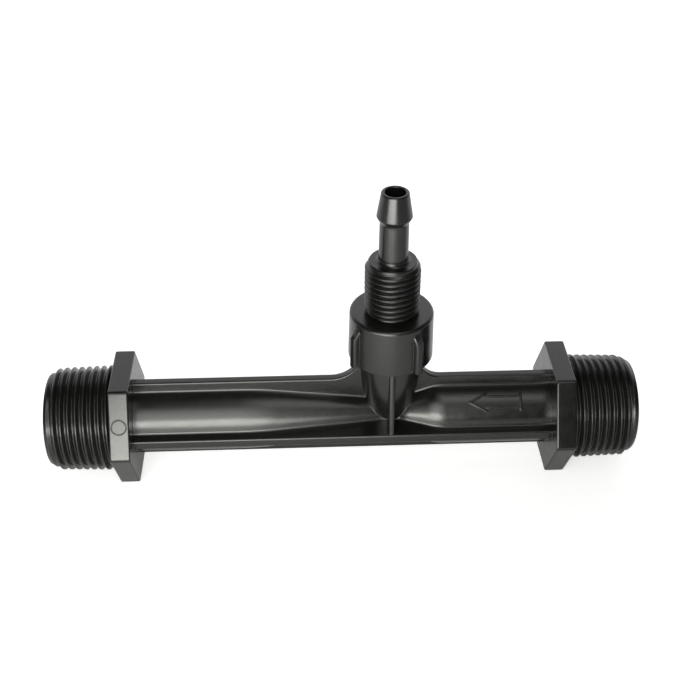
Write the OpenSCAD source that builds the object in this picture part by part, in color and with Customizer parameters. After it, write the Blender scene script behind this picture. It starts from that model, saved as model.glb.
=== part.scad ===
// Venturi fertilizer injector: a moulded body with a pipe thread at each end and a narrow throat between
// them, and a screw-on suction cap that holds a sprung check ball. Millimetres, +Z up. The origin lies under
// the middle of the length, in the plane of the two lower collar flats. +X points to the inlet end.

/* [Pipe ends] */
// Diameter over the crests of the end threads
end_thread_d = 25.8; // [24:0.1:27]
// Length of each threaded end, from the collar to the end face
end_thread_length = 16; // [12:0.5:24]
// Diameter of each end face, inside its lead-in taper
end_face_d = 23.2; // [22:0.1:23.6]
// Length of the lead-in taper at each end
lead_in_length = 2.2; // [1:0.1:4]
// Bore of each threaded end
end_bore_d = 19; // [15:0.5:20]
// Distance that each straight end bore runs into its collar
end_bore_overrun = 0.5; // [0:0.1:1.5]
// Length of the taper from each end bore to the tube bore
bore_step_length = 3.2; // [2:0.1:4.5]

/* [Collars] */
// Hexagonal collar, across its flats
collar_across_flats = 28.8; // [27:0.1:36]
// Thickness of each collar
collar_thickness = 4.8; // [3:0.1:8]

/* [Tube and throat] */
// Tube length from the suction port's axis to the inlet collar
inlet_run = 39.4; // [30:0.1:60]
// Tube length from the suction port's axis to the outlet collar
outlet_run = 62.5; // [50:0.1:90]
// Outside diameter of the straight tube
tube_d = 17; // [14:0.5:19]
// Wall of the tube and of the throat
tube_wall = 2; // [1.2:0.1:2.5]
// Bore of the throat
throat_bore_d = 6; // [4:0.1:7]
// Length of the straight throat
throat_length = 4.4; // [3:0.1:8]
// Length of the steep cone on the inlet side
inlet_cone_length = 9; // [6:0.5:16]
// Length of the shallow cone on the outlet side
outlet_cone_length = 30; // [20:0.5:40]

/* [Webs and gussets] */
// Reach of the four long webs from the tube's axis
web_reach = 11.1; // [10:0.1:13]
// Thickness of the webs
web_thickness = 2.25; // [1.5:0.05:3]
// Rounding of the webs' long edges
web_edge_round = 0.4; // [0.2:0.05:0.6]
// Fillet where the top web rises to the boss, on the outlet side
outlet_fillet_r = 7; // [3:0.5:9]
// Fillet where the top web rises to the boss, on the inlet side
inlet_fillet_r = 5; // [3:0.5:9]
// Thickness of the gussets at the front and back of the boss
gusset_thickness = 1.1; // [0.8:0.1:2]
// Diameter of the gate nub under the front web
gate_nub_d = 1.2; // [0.8:0.1:1.8]
// Height of the gate nub
gate_nub_height = 0.45; // [0.2:0.05:0.8]
// Distance of the gate nub from the suction port's axis, towards the inlet
gate_nub_x = 6.9; // [3:0.1:20]

/* [Suction boss] */
// Height of the boss's shoulder above the tube's axis
boss_height = 18; // [15:0.1:24]
// Diameter of the boss at its shoulder
boss_top_d = 14.8; // [14.2:0.1:17]
// Diameter of the boss at the tube's axis
boss_foot_d = 9.4; // [8:0.1:13]
// Diameter over the spigot's thread, which the cap screws on
spigot_d = 14; // [13:0.1:14]
// Chamfer at the top of the spigot
spigot_chamfer = 0.5; // [0.2:0.1:1]
// Passage from the throat to the valve
suction_bore_d = 3.5; // [2:0.1:5]
// Diameter of the spring's pocket in the spigot
pocket_d = 6.8; // [6.4:0.1:8]
// Depth of the spring's pocket
pocket_depth = 4.1; // [2:0.1:6]

/* [Suction cap] */
// Gap between the boss's shoulder and the cap, screwed down
cap_gap = 0.5; // [0.3:0.1:1.5]
// Height of the cap's ribbed skirt
cap_height = 12.3; // [11.5:0.1:18]
// Diameter of the skirt at its lower edge
cap_base_d = 20.3; // [19:0.1:24]
// Diameter of the skirt at its shoulder
cap_top_d = 19.8; // [19:0.1:24]
// Rounding of the shoulder's rim
cap_rim_round = 0.8; // [0.3:0.1:1.4]
// Depth of the threaded socket
socket_depth = 9.2; // [8:0.1:10.5]
// Radial clearance between the spigot and the socket
thread_clearance = 0.05; // [0.02:0.01:0.1]
// Number of grip ribs
rib_count = 4; // [3:1:8]
// Turn of the first rib from the inlet side
rib_turn = -57; // [-90:1:90]
// Diameter of the half-round ribs
rib_d = 1.3; // [0.8:0.1:2]
// Height of the ribs, from the cap's lower edge to their domed tops
rib_height = 9.9; // [5:0.1:11]

/* [Port thread and barb] */
// Diameter over the crests of the port thread
port_thread_d = 13; // [12:0.1:15]
// Length of the threaded port, from the cap's shoulder to its top face
port_length = 13.6; // [12:0.1:20]
// Diameter of the relief under the port thread
port_relief_d = 11.2; // [10.5:0.1:12]
// Length of the relief under the port thread
port_relief_length = 0.8; // [0.4:0.1:2]
// Chamfer at the port thread's top
port_chamfer = 0.6; // [0.3:0.1:1]
// Height of the hose barb above the port
barb_height = 17.4; // [14:0.1:24]
// Diameter of the barb's stem at its foot
stem_foot_d = 6.84; // [6:0.02:8]
// Diameter of the stem at its neck, under the barb
stem_neck_d = 6.62; // [6:0.02:7.4]
// Diameter of the barb's widest edge
barb_d = 8.16; // [7.6:0.02:9]
// Diameter of the barb's tip
barb_tip_d = 6.24; // [5.6:0.02:7]
// Length of the barb's tapered nose
barb_nose_length = 6.5; // [4:0.1:9]
// Length of the barb's back slope
barb_back_length = 1.4; // [0.6:0.1:2.5]
// Bore of the barb
barb_bore_d = 4.68; // [3:0.02:4.8]

/* [Valve] */
// Diameter of the check ball
ball_d = 7.2; // [7:0.1:7.6]
// Diameter of the valve chamber in the cap
chamber_d = 8.4; // [8.2:0.1:9]
// Height of the valve chamber, from the socket's roof to the seat
chamber_height = 8.4; // [6:0.1:9]
// Diameter at the foot of the seat's tapered throat, under the barb's bore
seat_throat_d = 4.94; // [4.86:0.02:4.98]
// Height of the seat's tapered throat, which takes the ball's crown
seat_throat_height = 1.4; // [1.2:0.1:3]
// Running gap between the ball, its seat and its spring
seat_gap = 0.1; // [0.05:0.01:0.2]
// Outside diameter of the spring
spring_d = 6; // [5:0.1:6.3]
// Wire diameter of the spring
wire_d = 0.6; // [0.4:0.05:0.8]
// Turns of the spring between its closed ends
spring_turns = 5; // [3:1:8]
// Section diameter of the seal ring
seal_section_d = 1.5; // [1:0.1:2]
// Gap round the seal ring, inside the socket's wall
seal_inset = 0.6; // [0.2:0.1:1]
// Clearance above and below the seal ring, and under the spring
seal_clearance = 0.03; // [0.02:0.01:0.1]

/* [Hidden] */
$fn = 96;

// Overlap of solids that are one moulding, and overshoot of cutters
embed = 0.5;

// Places along the tube, from the suction port's axis
axis_z = collar_across_flats / 2;
body_half_length = (inlet_run + outlet_run) / 2 + collar_thickness + end_thread_length;
port_x = body_half_length - end_thread_length - collar_thickness - inlet_run;
inlet_end = inlet_run + collar_thickness + end_thread_length;
outlet_end = outlet_run + collar_thickness + end_thread_length;
inlet_cone_start = throat_length / 2 + inlet_cone_length;
outlet_cone_start = throat_length / 2 + outlet_cone_length;
inlet_step = inlet_run + collar_thickness - end_bore_overrun;
outlet_step = outlet_run + collar_thickness - end_bore_overrun;

// Radii
tube_r = tube_d / 2;
tube_bore_r = tube_r - tube_wall;
throat_bore_r = throat_bore_d / 2;
throat_r = throat_bore_r + tube_wall;
boss_top_r = boss_top_d / 2;
boss_sag = (boss_top_d - boss_foot_d) / 2;
boss_arc_r = (boss_height * boss_height + boss_sag * boss_sag) / (2 * boss_sag);
socket_r = spigot_d / 2 + thread_clearance;
seal_mean_r = socket_r - seal_inset - seal_section_d / 2;
chamber_r = chamber_d / 2;
seat_throat_r = seat_throat_d / 2;
barb_bore_r = barb_bore_d / 2;
ball_r = ball_d / 2;
coil_r = (spring_d - wire_d) / 2;

// Heights above the tube's axis
cap_base_z = boss_height + cap_gap;
roof_z = cap_base_z + socket_depth;
shoulder_z = cap_base_z + cap_height;
port_top_z = shoulder_z + port_length;
barb_top_z = port_top_z + barb_height;
spigot_top_z = roof_z - seal_section_d - 2 * seal_clearance;
pocket_floor_z = spigot_top_z - pocket_depth;
seat_z = roof_z + chamber_height;
seat_throat_z = seat_z + chamber_r - seat_throat_r;
bore_start_z = seat_throat_z + seat_throat_height;

// The ball touches a seat of 45 degrees, and the spring's top turn touches the ball
ball_z = seat_z + chamber_r - (ball_r + seat_gap) * sqrt(2);
ball_to_wire = ball_r + seat_gap + wire_d / 2;
coil_top_z = ball_z - sqrt(ball_to_wire * ball_to_wire - coil_r * coil_r);
coil_bottom_z = pocket_floor_z + wire_d / 2 + seal_clearance;

// The spring's helix: a closed turn at each end and open turns between them
wire_sides = 8;
wire_steps = 16;
coil_turns = spring_turns + 2;
coil_stations = coil_turns * wire_steps;
open_rise = coil_top_z - coil_bottom_z - 2 * wire_d;

// Moves a shape from the crossing of the tube's axis and the port's axis to its place in the part
module at_port() {
    translate([port_x, 0, axis_z]) children();
}

// Lays a shape made along Z down along the tube, with its top towards the inlet
module along_tube() {
    rotate([0, 90, 0]) children();
}

// Runs a plate's outline, drawn in X and Z, through the thickness across the tube
module upright_plate(thickness) {
    rotate([90, 0, 0]) linear_extrude(height = thickness, center = true) children();
}

// A bar's section with rounded corners
module rounded_bar(width, height, round) {
    square([width - 2 * round, height], center = true);
    square([width, height - 2 * round], center = true);
    for (side = [-1, 1], end = [-1, 1])
        translate([side * (width / 2 - round), end * (height / 2 - round)]) circle(r = round);
}

// Outside of the tube: straight runs, the two cones and the throat between them
module tube_outside() {
    along_tube() rotate_extrude() polygon([
        [0, -outlet_run - embed],
        [tube_r, -outlet_run - embed],
        [tube_r, -outlet_cone_start],
        [throat_r, -throat_length / 2],
        [throat_r, throat_length / 2],
        [tube_r, inlet_cone_start],
        [tube_r, inlet_run + embed],
        [0, inlet_run + embed]
    ]);
}

// Water way from end to end, with the nozzle, the throat and the diffuser
module water_way() {
    end_bore_r = end_bore_d / 2;
    along_tube() rotate_extrude() polygon([
        [0, -outlet_end - embed],
        [end_bore_r, -outlet_end - embed],
        [end_bore_r, -outlet_step],
        [tube_bore_r, -outlet_step + bore_step_length],
        [tube_bore_r, -outlet_cone_start],
        [throat_bore_r, -throat_length / 2],
        [throat_bore_r, throat_length / 2],
        [tube_bore_r, inlet_cone_start],
        [tube_bore_r, inlet_step - bore_step_length],
        [end_bore_r, inlet_step],
        [end_bore_r, inlet_end + embed],
        [0, inlet_end + embed]
    ]);
}

// Hexagonal collar and plain form of the threaded end, standing on the collar's inner face
module pipe_end() {
    straight_length = end_thread_length - lead_in_length;
    rotate(90) cylinder(h = collar_thickness, d = collar_across_flats / cos(30), $fn = 6);
    translate([0, 0, collar_thickness - embed])
        cylinder(h = straight_length + embed, d = end_thread_d);
    translate([0, 0, collar_thickness + straight_length])
        cylinder(h = lead_in_length, d1 = end_thread_d, d2 = end_face_d);
}

// The four long webs, as one cross-shaped bar between the collars
module webs() {
    bar_length = inlet_run + outlet_run + 2 * embed;
    translate([-outlet_run - embed, 0, 0]) along_tube() linear_extrude(height = bar_length) {
        rounded_bar(2 * web_reach, web_thickness, web_edge_round);
        rounded_bar(web_thickness, 2 * web_reach, web_edge_round);
    }
}

// Rise of the top web to the boss, with a hollow curve of the given radius
module web_rise(fillet_r) {
    upright_plate(web_thickness) difference() {
        square([boss_top_r + fillet_r, min(boss_height, web_reach + fillet_r)]);
        translate([boss_top_r + fillet_r, web_reach + fillet_r]) circle(r = fillet_r);
    }
}

// Boss with a bulging side, and the spigot on its shoulder
module boss_outside() {
    spigot_height = spigot_top_z - boss_height;
    rotate_extrude() intersection() {
        square([boss_top_d, boss_height]);
        translate([boss_top_r - boss_arc_r, boss_height]) circle(r = boss_arc_r);
    }
    translate([0, 0, boss_height - embed])
        cylinder(h = spigot_height - spigot_chamfer + embed, d = spigot_d);
    translate([0, 0, spigot_top_z - spigot_chamfer])
        cylinder(h = spigot_chamfer, d1 = spigot_d, d2 = spigot_d - 2 * spigot_chamfer);
}

// Thin gussets from the boss's shoulder out to the edges of the front and back webs
module gussets() {
    for (side = [0, 180]) rotate(side) rotate([90, 0, -90])
        linear_extrude(height = gusset_thickness, center = true) polygon([
            [0, 0],
            [web_reach - web_edge_round, 0],
            [web_reach - web_edge_round, web_thickness / 2],
            [boss_top_r, boss_height - web_edge_round],
            [0, boss_height - web_edge_round]
        ]);
}

// Gate nub under the front web
module gate_nub() {
    translate([gate_nub_x, gate_nub_d - web_reach, -web_thickness / 2 - gate_nub_height])
        cylinder(h = gate_nub_height + embed, d = gate_nub_d);
}

// Suction passage and the spring's pocket above it
module suction_way() {
    cylinder(h = pocket_floor_z + embed, d = suction_bore_d);
    translate([0, 0, pocket_floor_z]) cylinder(h = pocket_depth + embed, d = pocket_d);
}

// Injector body, one moulding
module injector_body() {
    color([0.08, 0.08, 0.08]) at_port() difference() {
        union() {
            tube_outside();
            webs();
            translate([inlet_run, 0, 0]) along_tube() pipe_end();
            translate([-outlet_run, 0, 0]) mirror([1, 0, 0]) along_tube() pipe_end();
            web_rise(inlet_fillet_r);
            mirror([1, 0, 0]) web_rise(outlet_fillet_r);
            boss_outside();
            gussets();
            gate_nub();
        }
        water_way();
        suction_way();
    }
}

// Outside of the cap: skirt, shoulder, port thread's plain form and barb
module cap_outside() {
    rim_r = cap_top_d / 2 - cap_rim_round;
    rotate_extrude() polygon([
        [0, cap_base_z],
        [cap_base_d / 2, cap_base_z],
        [cap_top_d / 2, shoulder_z - cap_rim_round],
        [rim_r, shoulder_z - cap_rim_round],
        [rim_r, shoulder_z],
        [port_relief_d / 2, shoulder_z],
        [port_relief_d / 2, shoulder_z + port_relief_length],
        [port_thread_d / 2, shoulder_z + port_relief_length],
        [port_thread_d / 2, port_top_z - port_chamfer],
        [port_thread_d / 2 - port_chamfer, port_top_z],
        [stem_foot_d / 2, port_top_z],
        [stem_neck_d / 2, barb_top_z - barb_nose_length - barb_back_length],
        [barb_d / 2, barb_top_z - barb_nose_length],
        [barb_tip_d / 2, barb_top_z],
        [0, barb_top_z]
    ]);
    rotate_extrude() translate([rim_r, shoulder_z - cap_rim_round]) circle(r = cap_rim_round);
}

// Grip ribs, half-round and domed, leaning with the skirt's draft
module grip_ribs() {
    draft = atan((cap_base_d - cap_top_d) / 2 / cap_height);
    for (rib = [0 : rib_count - 1])
        rotate(rib_turn + rib * 360 / rib_count)
            translate([cap_base_d / 2, 0, cap_base_z]) rotate([0, -draft, 0]) {
                cylinder(h = rib_height - rib_d / 2, d = rib_d);
                translate([0, 0, rib_height - rib_d / 2]) sphere(d = rib_d);
            }
}

// Inside of the cap: socket, valve chamber, seat of 45 degrees, its tapered throat and the barb's bore
module cap_inside() {
    rotate_extrude() polygon([
        [0, cap_base_z - embed],
        [socket_r, cap_base_z - embed],
        [socket_r, roof_z],
        [chamber_r, roof_z],
        [chamber_r, seat_z],
        [seat_throat_r, seat_throat_z],
        [barb_bore_r, bore_start_z],
        [barb_bore_r, barb_top_z + embed],
        [0, barb_top_z + embed]
    ]);
}

// Suction cap, one moulding
module suction_cap() {
    color([0.09, 0.09, 0.09]) at_port() difference() {
        union() {
            cap_outside();
            intersection() {
                grip_ribs();
                translate([0, 0, cap_base_z]) cylinder(h = cap_height, d = cap_base_d + 2 * rib_d);
            }
        }
        cap_inside();
    }
}

// Seal ring between the spigot's top and the socket's roof
module seal_ring() {
    color([0.05, 0.05, 0.05]) at_port()
        translate([0, 0, spigot_top_z + seal_clearance + seal_section_d / 2])
            rotate_extrude() translate([seal_mean_r, 0]) circle(d = seal_section_d);
}

// Check ball under its seat
module check_ball() {
    color([0.9, 0.9, 0.86]) at_port() translate([0, 0, ball_z]) sphere(d = ball_d);
}

// Height of the wire's centre at a given number of turns from the spring's foot
function coil_height(turn) =
    coil_bottom_z
    + wire_d * min(turn, 1)
    + open_rise * max(0, min(turn - 1, spring_turns)) / spring_turns
    + wire_d * max(0, turn - 1 - spring_turns);

// Ring of points round the wire at a station along the helix
function wire_ring(station) =
    let (turn = station / wire_steps, angle = 360 * turn)
    [for (side = [0 : wire_sides - 1])
        let (
            around = 360 * side / wire_sides,
            reach = coil_r + wire_d / 2 * cos(around)
        )
        [reach * cos(angle), reach * sin(angle), coil_height(turn) + wire_d / 2 * sin(around)]];

// Check spring, a swept helix
module check_spring() {
    points = [for (station = [0 : coil_stations]) each wire_ring(station)];
    walls = [for (station = [0 : coil_stations - 1], side = [0 : wire_sides - 1])
        let (
            here = station * wire_sides,
            above = here + wire_sides,
            next = (side + 1) % wire_sides
        )
        [here + side, above + side, above + next, here + next]];
    foot = [[for (side = [0 : wire_sides - 1]) side]];
    head = [[for (side = [wire_sides - 1 : -1 : 0]) coil_stations * wire_sides + side]];
    color([0.7, 0.7, 0.72]) at_port() polyhedron(points, concat(walls, foot, head));
}

injector_body();
suction_cap();
seal_ring();
check_ball();
check_spring();
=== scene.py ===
"""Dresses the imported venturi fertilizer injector: screw threads, moulded edges, finishes and the studio."""

import logging
import math
from dataclasses import dataclass
from enum import Enum
from typing import Iterable, Sequence

import bmesh
import bpy
from bmesh.types import BMEdge, BMesh, BMFace, BMVert
from bpy.types import AreaLight, Material, Node, NodeSocket, NodeTree, Object
from mathutils import Matrix, Vector

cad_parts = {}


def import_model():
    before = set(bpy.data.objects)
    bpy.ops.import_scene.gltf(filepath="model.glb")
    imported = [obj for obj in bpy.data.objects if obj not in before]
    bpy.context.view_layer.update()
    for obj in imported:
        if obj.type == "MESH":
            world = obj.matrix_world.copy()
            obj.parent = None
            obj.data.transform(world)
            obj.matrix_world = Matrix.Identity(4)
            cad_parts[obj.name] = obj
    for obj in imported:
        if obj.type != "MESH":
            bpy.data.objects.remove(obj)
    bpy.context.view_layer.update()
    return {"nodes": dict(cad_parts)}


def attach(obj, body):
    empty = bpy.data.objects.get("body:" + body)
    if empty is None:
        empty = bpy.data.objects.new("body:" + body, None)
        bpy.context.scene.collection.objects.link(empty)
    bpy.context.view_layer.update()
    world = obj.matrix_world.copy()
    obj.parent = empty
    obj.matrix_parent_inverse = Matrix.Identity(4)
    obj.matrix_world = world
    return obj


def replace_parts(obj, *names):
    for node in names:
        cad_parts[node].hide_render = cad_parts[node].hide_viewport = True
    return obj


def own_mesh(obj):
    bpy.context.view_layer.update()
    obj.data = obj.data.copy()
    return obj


LOG = logging.getLogger("injector")

Point = tuple[float, float]
Corner = tuple[float, float, float]
Place = tuple[float, float, float]
Colour = tuple[float, float, float]
Element = BMVert | BMEdge | BMFace

MILLIMETRE = 0.001
WHITE = (1.0, 1.0, 1.0, 1.0)

# Reaches of the mesh tools, in millimetres
WELD_REACH = 1e-4
MOULD_WELD_REACH = 2e-4
CUT_REACH = 1e-5
LEVEL_REACH = 1e-6

# Largest share of a straight that the rounding of its corner takes
CORNER_SHARE = 0.48

# Steps of a plate's rounded edges
PLATE_EDGE_STEPS = 3

# Shading of the finished pieces, with the angle in degrees
SHARP_ANGLE = 38.0
NORMAL_WEIGHT = 60

# Middle and rim of a soft box in its own coordinates, which run from 0 to 1
BOX_MIDDLE = (0.5, 0.5, 0.0)
BOX_RIM = 0.5


class Body(Enum):
    """Rigid bodies that carry the new pieces."""

    INJECTOR = "injector"
    CAP = "cap"


class Slot(Enum):
    """Names of material slots for the new pieces, which no piece in this script is given."""

    BODY = "body_plastic"
    CAP = "cap_plastic"
    SPRING = "spring_steel"


class Pull(Enum):
    """Boolean operations that join and pierce a moulding."""

    JOIN = "UNION"
    PIERCE = "DIFFERENCE"


class Easing(Enum):
    """Ways to map one range of values to another."""

    STRAIGHT = "LINEAR"
    SMOOTH = "SMOOTHSTEP"


class Reckoning(Enum):
    """Kinds of sum of two values in a node tree."""

    LARGER = "MAXIMUM"
    TIMES = "MULTIPLY"
    PLUS = "ADD"


@dataclass(frozen=True)
class Datum:
    """Crossing of the tube's axis and the port's axis, from which every size is taken, in millimetres."""

    port_x: float = 11.55
    axis_z: float = 14.4

    def matrix(self) -> Matrix:
        """Returns the move from millimetres at the crossing to metres in the shared frame."""
        return Matrix.Scale(MILLIMETRE, 4) @ Matrix.Translation((self.port_x, 0.0, self.axis_z))


DATUM = Datum()


def arc(centre: Point, radius: float, start: float, end: float, steps: int) -> list[Point]:
    """Samples an arc of a flat outline.

    Args:
        centre: Centre of the arc.
        radius: Radius of the arc.
        start: First angle, in degrees.
        end: Last angle, in degrees.
        steps: Number of straight steps.

    Returns:
        The points from the first angle to the last.
    """
    angles = [math.radians(start + (end - start) * step / steps) for step in range(steps + 1)]
    return [(centre[0] + radius * math.cos(a), centre[1] + radius * math.sin(a)) for a in angles]


def softened(corners: Sequence[Corner], steps: int = 5) -> list[Point]:
    """Rounds the corners of an open outline.

    Args:
        corners: Points of the outline, each with the radius of its rounding.
        steps: Number of straight steps round each corner.

    Returns:
        The outline's points, with an arc in place of each rounded corner.
    """
    outline: list[Point] = []
    for index, (x, y, radius) in enumerate(corners):
        here = Vector((x, y))
        if radius <= 0.0 or index in (0, len(corners) - 1):
            outline.append((x, y))
            continue
        before = Vector(corners[index - 1][:2]) - here
        after = Vector(corners[index + 1][:2]) - here
        half = before.angle(after) / 2.0
        reach = min(radius / math.tan(half), CORNER_SHARE * before.length, CORNER_SHARE * after.length)
        true_radius = reach * math.tan(half)
        middle = (before.normalized() + after.normalized()).normalized()
        centre = here + middle * (true_radius / math.sin(half))
        first = here + before.normalized() * reach - centre
        last = here + after.normalized() * reach - centre
        start = math.degrees(math.atan2(first.y, first.x))
        sweep = (math.degrees(math.atan2(last.y, last.x)) - start + 180.0) % 360.0 - 180.0
        outline += arc((centre.x, centre.y), true_radius, start, start + sweep, steps)
    return outline


def verts_of(geom: Iterable[Element]) -> list[BMVert]:
    """Returns the vertices among mesh elements."""
    return [item for item in geom if isinstance(item, BMVert)]


def chain_of(
    bm: BMesh, points: Sequence[Sequence[float]], closed: bool = False
) -> tuple[list[BMVert], list[BMEdge]]:
    """Strings vertices together with edges.

    Args:
        bm: Mesh that takes the chain.
        points: Places of the vertices.
        closed: True where the last vertex joins the first.

    Returns:
        The chain's vertices and its edges.
    """
    verts = [bm.verts.new(point) for point in points]
    follow = verts[1:] + verts[:1] if closed else verts[1:]
    edges = [bm.edges.new(pair) for pair in zip(verts, follow)]
    return verts, edges


def tidy(bm: BMesh, reach: float = WELD_REACH) -> BMesh:
    """Merges doubled vertices and turns the faces outwards.

    Args:
        bm: Mesh to tidy.
        reach: Distance within which vertices merge.

    Returns:
        The same mesh.
    """
    bmesh.ops.remove_doubles(bm, verts=bm.verts, dist=reach)
    bmesh.ops.recalc_face_normals(bm, faces=bm.faces)
    return bm


def capped(bm: BMesh) -> BMesh:
    """Closes the open ends of a mesh.

    Args:
        bm: Mesh with open ends.

    Returns:
        The same mesh.
    """
    rims = [edge for edge in bm.edges if edge.is_boundary]
    bmesh.ops.holes_fill(bm, edges=rims, sides=0)
    return bm


def thickened(bm: BMesh, way: Place) -> BMesh:
    """Extrudes a flat face into a closed solid.

    Args:
        bm: Mesh that holds the face.
        way: Way from the face to its copy.

    Returns:
        The same mesh.
    """
    grown = bmesh.ops.extrude_face_region(bm, geom=bm.faces[:], use_keep_orig=True)
    bmesh.ops.translate(bm, verts=verts_of(grown["geom"]), vec=way)
    bmesh.ops.recalc_face_normals(bm, faces=bm.faces)
    return bm


def spun(
    bm: BMesh, geom: Sequence[Element], steps: int, pitch: float = 0.0, turns: int = 1
) -> list[Element]:
    """Spins mesh elements round the Z axis.

    Args:
        bm: Mesh that holds the elements.
        geom: Elements to spin.
        steps: Number of steps in a turn.
        pitch: Rise in a turn, or 0 for a ring that closes on itself.
        turns: Number of turns.

    Returns:
        The elements at the end of the spin.
    """
    return bmesh.ops.spin(
        bm, geom=geom, cent=(0, 0, 0), axis=(0, 0, 1), dvec=(0, 0, pitch / steps),
        angle=math.tau * turns, steps=steps * turns, use_merge=pitch == 0.0,
    )["geom_last"]


def turned(outline: Sequence[Point], steps: int = 96, closed: bool = False) -> BMesh:
    """Turns an outline of radius and height round the Z axis.

    Args:
        outline: Points of the outline, from the axis to the axis, or a closed section away from it.
        steps: Number of steps round the axis.
        closed: True for a closed section, which makes a ring.

    Returns:
        The turned solid.
    """
    bm = bmesh.new()
    verts, edges = chain_of(bm, [(radius, 0.0, height) for radius, height in outline], closed)
    spun(bm, [*verts, *edges], steps)
    return tidy(bm)


def round_edges(bm: BMesh, edges: Sequence[BMEdge], radius: float, segments: int) -> None:
    """Rounds edges of a solid with a bevel.

    Args:
        bm: Mesh of the solid.
        edges: Edges to round.
        radius: Radius of the rounding.
        segments: Number of steps across the rounding.
    """
    bmesh.ops.bevel(
        bm, geom=list(edges), offset=radius, offset_type="OFFSET", segments=segments,
        profile=0.5, affect="EDGES", clamp_overlap=True, material=-1,
    )


def plate(outline: Sequence[Point], thickness: float, rounding: float) -> BMesh:
    """Makes an upright plate in X and Z with rounded edges.

    Args:
        outline: Points of the plate's outline.
        thickness: Thickness, centred on the tube's axis.
        rounding: Radius of the edges.

    Returns:
        The plate as a closed solid.
    """
    bm = bmesh.new()
    chain_of(bm, [(x, -thickness / 2, z) for x, z in outline], closed=True)
    bmesh.ops.contextual_create(bm, geom=bm.edges[:])
    thickened(bm, (0.0, thickness, 0.0))
    rims = [edge for edge in bm.edges if abs(edge.verts[0].co.y - edge.verts[1].co.y) < LEVEL_REACH]
    round_edges(bm, rims, rounding, PLATE_EDGE_STEPS)
    return tidy(bm)


def placed(bm: BMesh, matrix: Matrix) -> BMesh:
    """Moves a whole mesh by a matrix and returns it."""
    bmesh.ops.transform(bm, matrix=matrix, verts=bm.verts)
    return bm


def raised(bm: BMesh, height: float) -> BMesh:
    """Lifts a whole mesh along Z and returns it."""
    return placed(bm, Matrix.Translation((0.0, 0.0, height)))


def swung(bm: BMesh, turn: float) -> BMesh:
    """Swings a whole mesh round the Z axis by degrees and returns it."""
    return placed(bm, Matrix.Rotation(math.radians(turn), 4, "Z"))


def along_tube(x: float, towards_inlet: bool) -> Matrix:
    """Returns the move that lays a solid made along Z down on the tube's axis, with its foot at x."""
    quarter = math.radians(90.0 if towards_inlet else -90.0)
    return Matrix.Translation((x, 0.0, 0.0)) @ Matrix.Rotation(quarter, 4, "Y")


def bench_object(bm: BMesh, name: str) -> Object:
    """Puts a mesh on the bench as an object.

    Args:
        bm: Mesh of the object, which is freed.
        name: Name of the object.

    Returns:
        The object, not yet in the scene.
    """
    mesh = bpy.data.meshes.new(name)
    bm.to_mesh(mesh)
    bm.free()
    return bpy.data.objects.new(name, mesh)


def moulded(name: str, parts: Sequence[BMesh], passages: Sequence[BMesh]) -> BMesh:
    """Joins closed solids into one moulding and pierces it.

    Args:
        name: Name for the work on the bench.
        parts: Solids that make the moulding.
        passages: Solids that are cut out of it.

    Returns:
        The moulding as one closed mesh, in millimetres.
    """
    base, *others = [bench_object(part, f"{name}_part") for part in parts]
    cutters = [bench_object(passage, f"{name}_passage") for passage in passages]
    scene = bpy.context.scene.collection
    scene.objects.link(base)
    shelves = []
    for pull, group in ((Pull.JOIN, others), (Pull.PIERCE, cutters)):
        shelf = bpy.data.collections.new(f"{name}_{pull.name.lower()}")
        scene.children.link(shelf)
        for item in group:
            shelf.objects.link(item)
        step = base.modifiers.new(pull.name, "BOOLEAN")
        step.operation = pull.value
        step.operand_type = "COLLECTION"
        step.collection = shelf
        step.solver = "MANIFOLD"
        shelves.append(shelf)
    graph = bpy.context.evaluated_depsgraph_get()
    mesh = bpy.data.meshes.new_from_object(base.evaluated_get(graph), depsgraph=graph)
    whole = bmesh.new()
    whole.from_mesh(mesh)
    bpy.data.meshes.remove(mesh)
    for item in [base, *others, *cutters]:
        bpy.data.meshes.remove(item.data)
    for shelf in shelves:
        bpy.data.collections.remove(shelf)
    bmesh.ops.dissolve_degenerate(whole, edges=whole.edges, dist=WELD_REACH)
    return tidy(whole, MOULD_WELD_REACH)


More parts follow.
